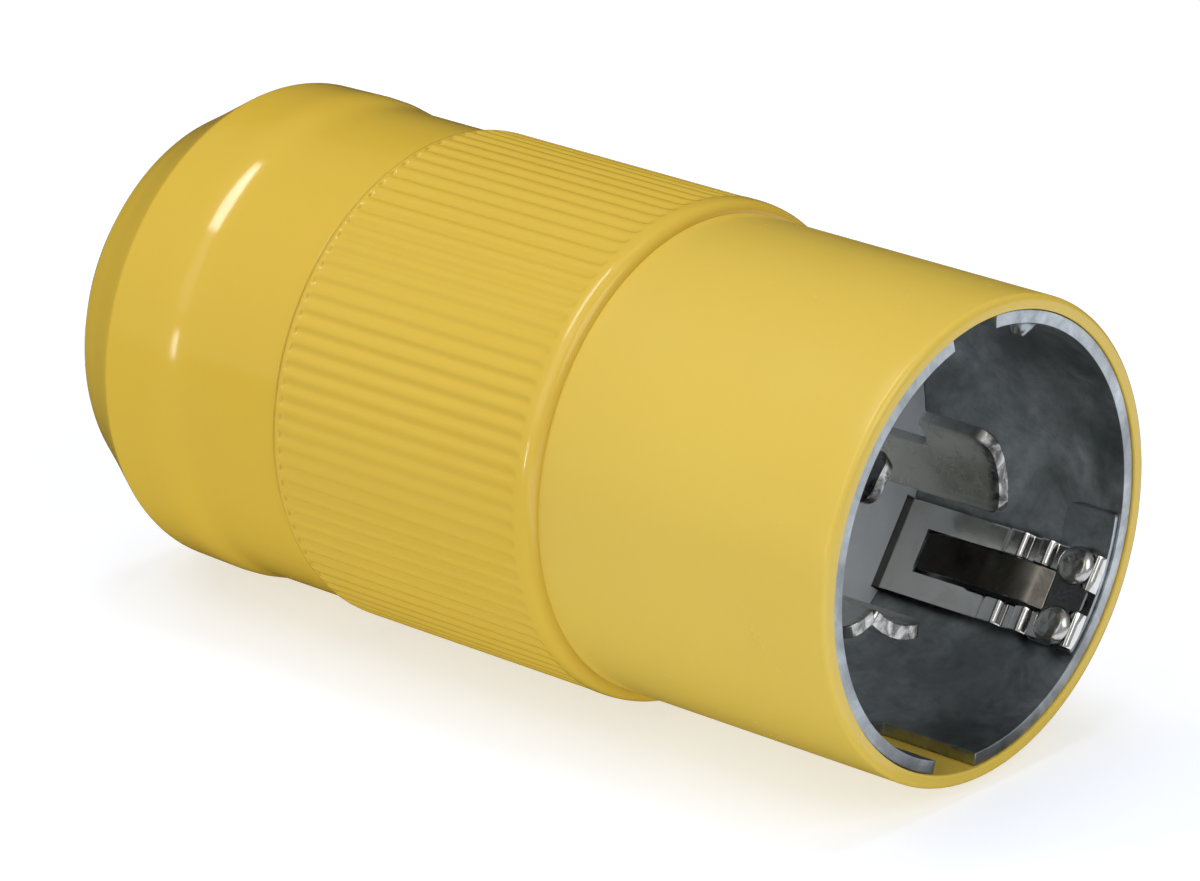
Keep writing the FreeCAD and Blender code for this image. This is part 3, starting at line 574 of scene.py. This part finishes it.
def smoothstep(t):
    t = min(1.0, max(0.0, t))
    return t * t * (3 - 2 * t)


def on_axis(d, r, phi):
    """Depth, radius, angle in degrees -> x, y, z in millimetres."""
    a = math.radians(phi)
    return (-d, r * math.cos(a), r * math.sin(a))


STRIP = math.radians(-34.5)


def on_strip(d, h, w):
    """Depth, distance out from the axis and sideways distance, in the ground strip's own frame."""
    return (-d, h * math.cos(STRIP) - w * math.sin(STRIP), h * math.sin(STRIP) + w * math.cos(STRIP))


def spline(points, n):
    """Catmull-Rom curve through points, n samples to each span."""
    p = [Vector(q) for q in points]
    p = [p[0] * 2 - p[1]] + p + [p[-1] * 2 - p[-2]]
    out = []
    for i in range(1, len(p) - 2):
        for j in range(n):
            t = j / n
            out.append(0.5 * ((2 * p[i]) + (p[i + 1] - p[i - 1]) * t
                              + (2 * p[i - 1] - 5 * p[i] + 4 * p[i + 1] - p[i + 2]) * t * t
                              + (3 * p[i] - p[i - 1] - 3 * p[i + 1] + p[i + 2]) * t ** 3))
    out.append(p[-2].copy())
    return out


def ribbon(path, thick, widths, keep, name, mat, body, replaced, bevel=0.12, side=None):
    """Bent strip: path of (depth, distance out) for its middle surface, widths across it."""
    normals = []
    for i in range(len(path)):
        a, b = path[max(0, i - 1)], path[min(len(path) - 1, i + 1)]
        t = (b - a).normalized()
        n = Vector((-t.y, t.x))
        if n.y < 0:
            n = -n
        normals.append(n)

    def mapper(u, w, k):
        i = int(u)
        q = path[i] + normals[i] * (thick / 2 if k else -thick / 2)
        if side:
            w = side(path[i].x, w)
        return on_strip(q.x, q.y, w)

    bm = grid_solid(list(range(len(path))), widths, lambda i, j: keep(path[i].x, path[i + 1].x, widths[j], widths[j + 1]),
                    mapper, width=bevel, segments=2, angle=50)
    return finish_mesh(name, bm, mat, body, replaced, smooth=40)


# ------------------------------------------------------------------ yellow sleeve
p = [(0, 29.6), (0, 31.5), (46.4, 31.5), (46.4, 30.9), (90.8, 30.9), (90.8, 29.6),
     (46.0, 29.6), (46.0, 28.3), (44.0, 28.3), (44.0, 29.6)]
rr = [0.25, 0.95, 0, 0.1, 0.4, 0.4, 0, 0.2, 0.2, 0]
v, f = lathe(densify(rounded(p, rr, 6), 2.4), 240)
sleeve = add_object("sleeve_moulding", v, f, M_YELLOW, "plug_body", ["front_sleeve"], smooth=40)

# ------------------------------------------------------------------ ribbed grip
RIBS = 90
RIB0 = 48.9


def grip_radius(d, r, phi):
    if r < 31.6:
        return r
    t = smoothstep((d - RIB0) / 1.3) * (1 - smoothstep((d - 89.82) / 0.12))
    # soft rounded ribs; 0 in a groove's middle, 1 on a rib's crown
    g = abs((phi * RIBS / (2 * math.pi)) % 1.0 - 0.5) * 2.0
    depth = (0.5 * (1 + math.cos(math.pi * g))) ** 1.35
    return r - t * 0.29 * depth


bull = [(46.4, 30.95), (46.4, 31.55), (46.44, 31.85), (46.56, 32.14), (46.76, 32.42), (47.02, 32.66), (47.34, 32.84),
        (47.7, 32.96), (48.1, 33.03), (48.5, 33.07), (48.9, 33.09)]
axial = [(d, 33.09) for d in (49.2, 49.5, 49.8, 50.1)] + [(d, 33.03) for d in (51.2, 53, 56, 60, 65, 70, 75, 80, 85, 88.6, 89.4, 89.8)]
tail = [(89.95, 33.02), (90.4, 32.98), (90.7, 32.88), (90.9, 32.7), (91.0, 32.5), (91.0, 32.0), (91.0, 30.95)]
prof = bull + axial + tail + [(80, 30.95), (65, 30.95), (55, 30.95)]
v, f = lathe(prof, RIBS * 18, grip_radius)
grip = add_object("grip_moulding", v, f, M_GRIP, "plug_body", ["grip_ring"], smooth=50)

# ------------------------------------------------------------------ rear cap
p = [(74.0, 27.3), (74.0, 29.3), (86.4, 29.3), (86.4, 28.0), (88.2, 28.0), (88.2, 29.3), (91.4, 29.3), (91.4, 32.25),
     (108.3, 32.25), (111.9, 33.1), (121.6, 32.85), (127.2, 29.5), (131.6, 27.0), (134.5, 24.0),
     (134.5, 16.6), (132.2, 14.5), (128.0, 14.5), (128.0, 21.4), (117.0, 21.4), (110.0, 27.3)]
rr = [0.3, 0.5, 0.1, 0.1, 0.1, 0.1, 0, 0.35, 12.0, 18.0, 1.4, 2.5, 2.0, 1.6, 0.8, 1.2, 0.3, 0.3, 0.5, 1.0]


def cap_radius(d, r, phi):
    # thread on the spigot: rounded ridge, 3 mm lead
    if 28.9 < r < 29.35 and 74.6 < d < 86.0:
        t = min(1.0, (d - 74.6) / 1.5, (86.0 - d) / 1.5)
        u = ((d / 3.0) + phi / (2 * math.pi)) % 1.0
        return r - t * 0.75 * (0.5 + 0.5 * math.cos(2 * math.pi * u))
    return r


prof = rounded(p, rr, 9)
dense = []
k = len(prof)
for i in range(k):
    a, b = Vector(prof[i]), Vector(prof[(i + 1) % k])
    on_thread = abs(a.y - 29.3) < 0.01 and abs(b.y - 29.3) < 0.01 and a.x < 86.5 and b.x < 86.5
    n = max(1, int(math.ceil((b - a).length / (0.3 if on_thread else 2.4))))
    dense += [tuple(a.lerp(b, j / n)) for j in range(n)]
v, f = lathe(dense, 256, cap_radius)
cap = add_object("cap_moulding", v, f, M_CAP, "screw_cap", ["rear_cap"], smooth=40)

# ------------------------------------------------------------------ steel shell
phis = []
slots = [(96.2 - 8.2, 96.2 + 8.2), (259.0 - 8.2, 259.0 + 8.2)]
marks = sorted([0.0, 67.5, 77.5] + [a for s in slots for a in s] + [360.0])
for a, b in zip(marks[:-1], marks[1:]):
    phis += steps([a, b], 0.3 if (a, b) == (67.5, 77.5) else 1.5)[:-1]
depths = steps([0.35, 4.4], 0.17)[:-1] + steps([4.4, 15.0, 44.0], 1.6)


def shell_keep(i, j):
    mid = phis[i] + 0.05
    d = (depths[j] + depths[j + 1]) / 2
    return not (d < 15.0 and any(a - 1e-6 < mid < b for a, b in slots))


def shell_point(phi, d, k):
    r = 29.5 if k else 27.8
    # pressed nub with a torn, uneven lip
    du, dv = (phi - 72.5) * math.radians(1) * 27.8, d - 2.2
    q = math.hypot(du * 0.88, dv)
    if q < 2.1 and d > 0.4:
        lump = 1.0 + 0.30 * noise.noise(Vector((du * 1.3, dv * 1.3, 2.0))) + 0.10 * noise.noise(Vector((du * 3.1, dv * 3.1, 5.0)))
        h = 1.75 * lump * (1 - smoothstep((q - 0.55) / 1.5)) * smoothstep((d - 0.4) / 0.7)
        r -= h if not k else 0.75 * h
    else:
        r += 0.02 * noise.noise(Vector((math.cos(math.radians(phi)) * 5, math.sin(math.radians(phi)) * 5, d * 0.22)))
    return on_axis(d, r, phi)


bm = grid_solid(phis, depths, shell_keep, shell_point, closed=True, width=0.16, segments=2, angle=50)
finish_mesh("shell_tube", bm, M_ZINC, "plug_body", ["ground_shell"], smooth=40)

# ------------------------------------------------------------------ blades
R_BLADE = 13.85


def blade_point(u, v, t):
    return on_axis(v, t, math.degrees(u / R_BLADE))


def arc_u(phi):
    return math.radians(phi) * R_BLADE


ol = rounded([(arc_u(-10), 8.5), (arc_u(41), 8.5), (arc_u(41), 19.7), (arc_u(19), 19.7), (arc_u(19), 52), (arc_u(-10), 52)],
             [1.7, 2.9, 0.7, 1.0, 0.3, 0.3], 6)
bm = plate(ol, 12.9, 14.8, blade_point, 0.42, 4, 0.8)
finish_mesh("blade_hooked", bm, M_BLADE, "plug_body", ["blade_x"])
ol = rounded([(arc_u(125), 8.5), (arc_u(153), 8.5), (arc_u(153), 36), (arc_u(149), 36), (arc_u(149), 52),
              (arc_u(129), 52), (arc_u(129), 36), (arc_u(125), 36)], [2.0, 2.0, 0.2, 0.2, 0.3, 0.3, 0.2, 0.2], 6)
bm = plate(ol, 12.9, 14.8, blade_point, 0.42, 4, 0.8)
finish_mesh("blade_plain", bm, M_BLADE, "plug_body", ["blade_y"])
ol = rounded([(arc_u(-138.4), 9.5), (arc_u(-91), 9.5), (arc_u(-91), 36), (arc_u(-110), 36), (arc_u(-110), 52),
              (arc_u(-136), 52), (arc_u(-136), 36), (arc_u(-138.4), 36)], [0.6, 2.2, 0.2, 0.2, 0.3, 0.3, 0.1, 0.1], 6)
bm = plate(ol, 12.9, 14.8, blade_point, 0.42, 4, 0.8)
finish_mesh("blade_angled", bm, M_BLADE, "plug_body", ["blade_neutral"])
LEG = math.radians(-163)


def leg_point(u, v, t):
    return (-v, u * math.cos(LEG) - t * math.sin(LEG), u * math.sin(LEG) + t * math.cos(LEG))


ol = rounded([(12.4, 9.5), (17.2, 9.5), (17.2, 36), (12.4, 36)], [0.5, 2.2, 0.2, 0.2], 6)
bm = plate(ol, 4.65, 6.55, leg_point, 0.42, 4, 1.2)
finish_mesh("blade_angled_leg", bm, M_BLADE, "plug_body", ())

# ------------------------------------------------------------------ ground strip
STEPS = [(52.0, 25.2), (40.0, 25.2), (36.0, 25.75), (32.6, 25.75), (29.6, 25.2), (15.7, 25.2), (14.5, 24.55), (12.8, 24.55), (12.0, 25.75), (10.5, 25.75), (9.8, 24.55),
         (8.7, 24.55), (7.9, 25.6), (2.6, 25.6)]


def strip_height(d):
    for (d0, h0), (d1, h1) in zip(STEPS[:-1], STEPS[1:]):
        if d1 <= d <= d0:
            return h0 + (h1 - h0) * smoothstep((d0 - d) / (d0 - d1))
    return STEPS[-1][1]


ds = [52.0, 46.0, 40.0, 38.0, 36.0, 34.0, 32.6, 31.8, 31.1, 30.4, 29.6, 28.6, 27.5, 25.0, 22.0, 19.0, 17.0] + [16.2 - 0.2 * i for i in range(45)] \
    + [6.0, 4.6, 3.4]
path = [Vector((d, strip_height(d) + 0.35)) for d in ds]
path += [Vector((2.4 - 1.35 * math.sin(math.radians(a)), 25.95 - 0.55 * math.sin(math.radians(2 * a)) + 0.9 * (1 - math.cos(math.radians(a)))))
         for a in range(0, 91, 9)]
widths = [-6.2, -5.9, -4.6, -3.3, -2.95, -1.5, 0.0, 1.5, 2.95, 3.3, 4.6, 5.9, 6.2]


def strip_keep(a, b, w0, w1):
    d, w = (a + b) / 2, (w0 + w1) / 2
    if 6.0 < d < 27.5 and abs(w) < 2.95:
        return False
    # the front end is two lips, one outside each rivet
    if d < 2.3 and abs(w) < 1.5:
        return False
    return True


ribbon(path, 0.66, widths, strip_keep, "ground_strip", M_STRIP, "plug_body", ["ground_strap"], bevel=0.14)

# ------------------------------------------------------------------ contact leaf
path = spline([(6.4, 25.25), (7.2, 24.82), (8.65, 24.08), (11.6, 23.12), (15.0, 22.62), (18.45, 22.72), (21.9, 23.42),
               (24.9, 24.45), (26.95, 25.3)], 6)


def leaf_side(d, w):
    if d > 25.9:
        return w * (1 - 0.16 * smoothstep((d - 25.9) / 1.1))
    return w


ribbon(path, 0.5, [-2.6, -2.3, -1.3, 0.0, 1.3, 2.3, 2.6], lambda *a: True, "leaf_spring_arch", M_LEAF, "leaf_spring",
       ["contact_leaf"], bevel=0.12, side=leaf_side)
ol = rounded([(-1.45, 0.9), (1.45, 0.9), (1.7, 2.5), (6.6, 2.5), (6.6, 5.5), (2.65, 6.3), (-2.65, 6.3), (-6.6, 5.5), (-6.6, 2.5), (-1.7, 2.5)],
             [0.5, 0.5, 0.8, 1.3, 1.2, 0.3, 0.3, 1.2, 1.3, 0.8], 5)
bm = plate(ol, 25.05, 25.58, lambda u, v, t: on_strip(v, t, u), 0.14, 2, 1.6)
finish_mesh("leaf_root_plate", bm, M_LEAFROOT, "plug_body", ["contact_leaf_root"])

# ------------------------------------------------------------------ rivets and foot plate
bm = bmesh.new()
dome = [(0.0, 1.12), (0.6, 1.11), (1.1, 1.08), (1.5, 1.03), (1.8, 0.95), (2.05, 0.82), (2.27, 0.64), (2.45, 0.42), (2.57, 0.2), (2.62, 0.0),
        (1.4, -0.2), (1.4, -1.6), (0.0, -1.6)]
for side in (4.05, -4.05):
    rings = []

    def dented(a, b, h):
        return h + (0.10 * noise.noise(Vector((a * 1.1, b * 1.1, side))) if h > 0.15 else 0.0)

    for q, h in dome:
        if q == 0.0:
            rings.append([bm.verts.new(on_strip(4.0, 25.05 - dented(0.0, 0.0, h), side))] * 40)
        else:
            ring = [(q * math.cos(2 * math.pi * i / 40), q * math.sin(2 * math.pi * i / 40)) for i in range(40)]
            rings.append([bm.verts.new(on_strip(4.0 + a, 25.05 - dented(a, b, h), side + b)) for a, b in ring])
    for a, b in zip(rings[:-1], rings[1:]):
        for i in range(40):
            loop = [a[i], a[(i + 1) % 40], b[(i + 1) % 40], b[i]]
            loop = [x for n, x in enumerate(loop) if x not in loop[:n]]
            bm.faces.new(loop)
for vert in bm.verts:
    vert.co = vert.co * MM
finish_mesh("rivet_heads", bm, M_RIVET, "plug_body", ["foot_rivets"], weighted=False)

R_FOOT = 27.4
u0, u1 = math.radians(-48.5) * R_FOOT, math.radians(-9.0) * R_FOOT
ol = rounded([(u0, 0.7), (u1, 0.7), (u1, 8.5), (u0, 8.5)], [0.4, 0.4, 1.5, 1.5], 6)
bm = plate(ol, 27.02, 27.76, lambda u, v, t: on_axis(v, t, math.degrees(u / R_FOOT)), 0.16, 2, 0.9)
finish_mesh("foot_plate_sheet", bm, M_ZINC2, "plug_body", ["ground_foot_plate"])

# ------------------------------------------------------------------ rubber grommet, washer and seal ring
p = [(108.0, 13.0), (108.0, 17.6), (112.0, 20.0), (126.0, 20.0), (126.0, 13.0)]
prof = rounded(p, [0.4, 0.5, 1.0, 0.4, 0.4], 5)
inner = []
for i in range(48):
    d = 125.2 - 16.6 * i / 47
    inner.append((d, 13.0 + 0.45 * (0.5 - 0.5 * math.cos(2 * math.pi * (125.2 - d) / 3.32))))
prof = [q for q in prof if not (q[1] < 13.2 and 108.5 < q[0] < 125.6)] + inner
v, f = lathe(prof, 160)
add_object("grommet_rubber", v, f, M_RUBBER, "plug_body", ["cable_grommet"], smooth=50)
v, f = lathe(rounded([(126.0, 13.8), (126.0, 20.6), (128.0, 20.6), (128.0, 13.8)], [0.35] * 4, 4), 160)
add_object("washer_ring", v, f, M_WASH, "washer_slide", ["slip_washer"], smooth=50)
v, f = lathe([(87.3 + 0.7 * math.cos(2 * math.pi * i / 20), 28.76 + 0.7 * math.sin(2 * math.pi * i / 20)) for i in range(20)], 200)
add_object("seal_ring", v, f, M_RUBBER, "screw_cap", ["cap_o_ring"], smooth=60)

# ------------------------------------------------------------------ floor, light
bpy.ops.mesh.primitive_plane_add(size=8.0, location=(0, 0, -0.0331))
floor = bpy.context.object
floor.name = "floor"
k = Mat("floor_white")
k.use(Base_Color=k.ramp(k.noise(3.0, 2.0), [(0.0, (0.52, 0.56, 0.66, 1)), (1.0, (0.54, 0.58, 0.68, 1))]))
k.set(Roughness=0.9, Specular_IOR_Level=0.1, Emission_Color=(1.0, 1.0, 1.0, 1.0), Emission_Strength=0.56)
floor.data.materials.append(k.mat)

world = bpy.data.worlds.new("world")
bpy.context.scene.world = world
world.use_nodes = True
# a soft studio surround: bright from the front and above, darker behind
wn, wl = world.node_tree.nodes, world.node_tree.links
way = wn.new("ShaderNodeTexCoord")
dot = wn.new("ShaderNodeVectorMath")
dot.operation = "DOT_PRODUCT"
dot.inputs[1].default_value = (0.35, -0.72, 0.60)
wl.new(way.outputs["Generated"], dot.inputs[0])
fade = wn.new("ShaderNodeMapRange")
fade.interpolation_type = "SMOOTHSTEP"
for name, value in (("From Min", -0.45), ("From Max", 0.75), ("To Min", 0.12), ("To Max", 0.42)):
    fade.inputs[name].default_value = value
wl.new(dot.outputs["Value"], fade.inputs["Value"])
back = wn["Background"]
back.inputs["Color"].default_value = (0.97, 0.98, 1.0, 1)
wl.new(fade.outputs["Result"], back.inputs["Strength"])


def softbox(name, az, el, dist, size, radiance, along=(0, 0, 1)):
    """Rectangular light that faces the object from an azimuth and elevation, with a stated brightness.
    Its first side runs as near as it can along the given direction."""
    d = bpy.data.lights.new(name, "AREA")
    d.shape = "RECTANGLE"
    d.size, d.size_y = size
    d.energy = radiance * math.pi * size[0] * size[1]
    o = bpy.data.objects.new(name, d)
    bpy.context.scene.collection.objects.link(o)
    a, e = math.radians(az), math.radians(el)
    way = Vector((math.cos(e) * math.cos(a), math.cos(e) * math.sin(a), math.sin(e)))
    x = Vector(along)
    x = (x - way * x.dot(way)).normalized()
    y = way.cross(x).normalized()
    m = Matrix((x, y, way)).transposed().to_4x4()
    m.translation = Vector((-0.067, 0, 0)) + way * dist
    o.matrix_world = m
    o.visible_camera = False
    return o


softbox("strip_high", -144, 62, 2.5, (1.45, 0.19), 13.0, (0.04, -0.94, -0.35))
softbox("strip_low", -108.8, 4.0, 2.5, (0.48, 0.15), 13.0, (0, 0, 1))
softbox("broad_left", -95, 40, 1.5, (1.2, 1.1), 0.88, (0, 0, 1))
softbox("broad_right", -14, 40, 1.5, (1.0, 0.9), 1.75, (0, 0, 1))
overhead = softbox("overhead", 110, 84, 1.4, (0.62, 0.62), 4.7, (1, 0, 0))
overhead.visible_glossy = False

# black flags behind and below the object, out of the camera's sight: they keep its edges from washing out
across = Vector((0.745, 0.667, 0.0))
foot = Vector((-0.158, 0.101, -0.0331))
left = foot - across * 0.22
up = Vector((0, 0, 0.16))
flag_mesh = bpy.data.meshes.new("flag")
flag_mesh.from_pydata([left, foot + across * 0.34, foot + across * 0.34 + up, left + up,
                       (-2.5, -3.0, -0.03305), (0.012, -3.0, -0.03305), (0.012, 0.30, -0.03305), (-2.5, 0.30, -0.03305)],
                      [], [(0, 1, 2, 3), (4, 5, 6, 7)])
flag = bpy.data.objects.new("flag", flag_mesh)
bpy.context.scene.collection.objects.link(flag)
k = Mat("flag_black")
k.use(Base_Color=k.ramp(k.noise(8.0, 2.0), [(0.0, (0.030, 0.028, 0.026, 1)), (1.0, (0.036, 0.034, 0.032, 1))]))
k.set(Roughness=1.0, Specular_IOR_Level=0.0)
flag_mesh.materials.append(k.mat)
flag.visible_camera = False
flag.visible_diffuse = False
flag.visible_shadow = False
flag.visible_transmission = False

# ------------------------------------------------------------------ carried-over CAD nodes
PLAIN = {"core_front": M_GREY, "core_gasket": M_GASKET, "core_rear": M_GREY2, "terminal_x": M_BRASS,
         "terminal_y": M_BRASS, "terminal_neutral": M_NICKELBLOCK, "terminal_ground": M_BRASS,
         "clamp_screws": M_BRASS, "ground_screw": M_GREEN, "core_screws": M_STEELSCREW, "gland_seat": M_DARK}
for name, mat in PLAIN.items():
    o = N[name]
    o.data.materials.clear()
    o.data.materials.append(mat)
